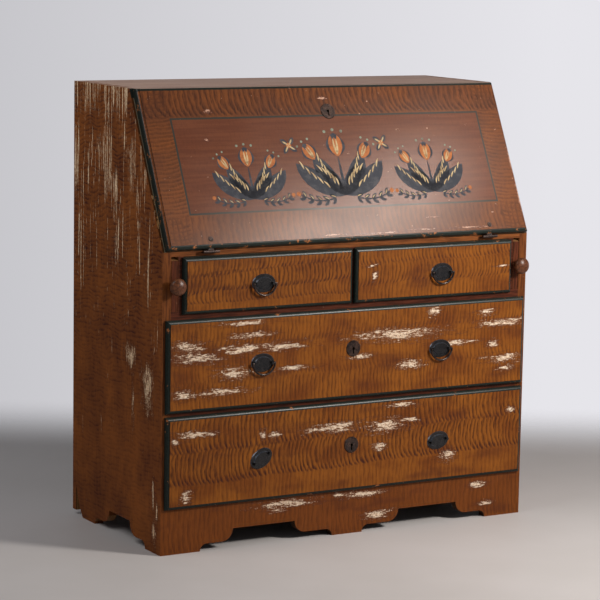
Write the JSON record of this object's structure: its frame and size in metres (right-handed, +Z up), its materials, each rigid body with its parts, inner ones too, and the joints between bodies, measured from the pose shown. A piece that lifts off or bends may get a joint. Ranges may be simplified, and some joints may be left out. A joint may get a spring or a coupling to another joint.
{
  "type": "slant-front writing desk",
  "caption": "Painted slant-front writing desk with a hinged fall lid on pull-out lopers, small drawers over wide lipped drawers, drop-bail pulls, pigeonholes and a bracket-foot apron",
  "frame": {"origin": "on the floor under the centre of the box of the whole desk, knobs included", "axes": "+Z up, +X to the right seen from the front, +Y from the front to the back"},
  "size_m": [1.02, 0.524, 1.084],
  "materials": {
    "grained_paint": "combed and grained oil paint, worn",
    "lid_paint": "smooth red-brown oil paint, worn",
    "bare_wood": "bare aged pine",
    "turned_wood": "turned and stained",
    "iron": "blackened wrought iron"
  },
  "bodies": {
    "carcase": {"side_left": "grained_paint", "side_right": "grained_paint", "top_board": "grained_paint", "back_boards": "bare_wood", "apron": "grained_paint", "bottom_board": "bare_wood", "lower_rail": "grained_paint", "lower_runners": "bare_wood", "drawer_shelf": "grained_paint", "loper_cheeks": "grained_paint", "drawer_divider": "grained_paint", "desk_floor": "grained_paint", "glue_blocks": "iron", "gallery_shelf": "bare_wood", "gallery_uprights": "bare_wood", "hinge_rail_leaves": "iron", "hinge_pins": "iron"},
    "lid": {"lid_panel": "lid_paint", "lid_hinge_leaves": "iron", "lid_hinge_rivets": "iron", "lid_escutcheon": "iron", "lid_lock": "iron"},
    "lid_bolt": {"lid_lock_bolt": "iron"},
    "loper_left_bar": {"loper_left": "grained_paint", "loper_knob_left": "turned_wood"},
    "small_left_drawer": {"small_left_front": "grained_paint", "small_left_box": "bare_wood", "small_left_bottom": "bare_wood", "small_left_pull_plate": "iron"},
    "small_left_handle": {"small_left_bail": "iron"},
    "inner_left_drawer": {"inner_drawer_left": "bare_wood", "inner_knob_left": "turned_wood"},
    "loper_right_bar": {"loper_right": "grained_paint", "loper_knob_right": "turned_wood"},
    "small_right_drawer": {"small_right_front": "grained_paint", "small_right_box": "bare_wood", "small_right_bottom": "bare_wood", "small_right_pull_plate": "iron"},
    "small_right_handle": {"small_right_bail": "iron"},
    "inner_right_drawer": {"inner_drawer_right": "bare_wood", "inner_knob_right": "turned_wood"},
    "upper_drawer": {"upper_front": "grained_paint", "upper_box": "bare_wood", "upper_bottom": "bare_wood", "upper_pull_plates": "iron", "upper_escutcheon": "iron", "upper_lock": "iron"},
    "upper_left_handle": {"upper_bail_left": "iron"},
    "upper_right_handle": {"upper_bail_right": "iron"},
    "upper_bolt": {"upper_lock_bolt": "iron"},
    "lower_drawer": {"lower_front": "grained_paint", "lower_box": "bare_wood", "lower_bottom": "bare_wood", "lower_pull_plates": "iron", "lower_escutcheon": "iron", "lower_lock": "iron"},
    "lower_bolt": {"lower_lock_bolt": "iron"}
  },
  "joints": [
    {"name": "lid_fall", "type": "hinge", "parent": "carcase", "child": "lid", "pos_m": [0, -0.238, 0.71596], "axis": [1, 0, 0], "range_deg": [0, 116.25]},
    {"name": "lid_bolt_throw", "type": "slide", "parent": "lid", "child": "lid_bolt", "axis": [0, 0.4423, 0.8969], "range_m": [0, 0.014]},
    {"name": "loper_left_slide", "type": "slide", "parent": "carcase", "child": "loper_left_bar", "axis": [0, -1, 0], "range_m": [0, 0.32]},
    {"name": "small_left_slide", "type": "slide", "parent": "carcase", "child": "small_left_drawer", "axis": [0, -1, 0], "range_m": [0, 0.33]},
    {"name": "small_left_bail_swing", "type": "hinge", "parent": "small_left_drawer", "child": "small_left_handle", "pos_m": [-0.25, -0.247, 0.634], "axis": [-1, 0, 0], "range_deg": [0, 90]},
    {"name": "inner_left_slide", "type": "slide", "parent": "carcase", "child": "inner_left_drawer", "axis": [0, -1, 0], "range_m": [0, 0.14]},
    {"name": "loper_right_slide", "type": "slide", "parent": "carcase", "child": "loper_right_bar", "axis": [0, -1, 0], "range_m": [0, 0.32]},
    {"name": "small_right_slide", "type": "slide", "parent": "carcase", "child": "small_right_drawer", "axis": [0, -1, 0], "range_m": [0, 0.33]},
    {"name": "small_right_bail_swing", "type": "hinge", "parent": "small_right_drawer", "child": "small_right_handle", "pos_m": [0.25, -0.247, 0.634], "axis": [-1, 0, 0], "range_deg": [0, 90]},
    {"name": "inner_right_slide", "type": "slide", "parent": "carcase", "child": "inner_right_drawer", "axis": [0, -1, 0], "range_m": [0, 0.14]},
    {"name": "upper_slide", "type": "slide", "parent": "carcase", "child": "upper_drawer", "axis": [0, -1, 0], "range_m": [0, 0.36]},
    {"name": "upper_left_bail_swing", "type": "hinge", "parent": "upper_drawer", "child": "upper_left_handle", "pos_m": [-0.25, -0.247, 0.444], "axis": [-1, 0, 0], "range_deg": [0, 90]},
    {"name": "upper_right_bail_swing", "type": "hinge", "parent": "upper_drawer", "child": "upper_right_handle", "pos_m": [0.25, -0.247, 0.444], "axis": [-1, 0, 0], "range_deg": [0, 90]},
    {"name": "upper_bolt_throw", "type": "slide", "parent": "upper_drawer", "child": "upper_bolt", "axis": [0, 0, 1], "range_m": [0, 0.012]},
    {"name": "lower_slide", "type": "slide", "parent": "carcase", "child": "lower_drawer", "axis": [0, -1, 0], "range_m": [0, 0.36]},
    {"name": "lower_bolt_throw", "type": "slide", "parent": "lower_drawer", "child": "lower_bolt", "axis": [0, 0, 1], "range_m": [0, 0.012]}
  ]
}
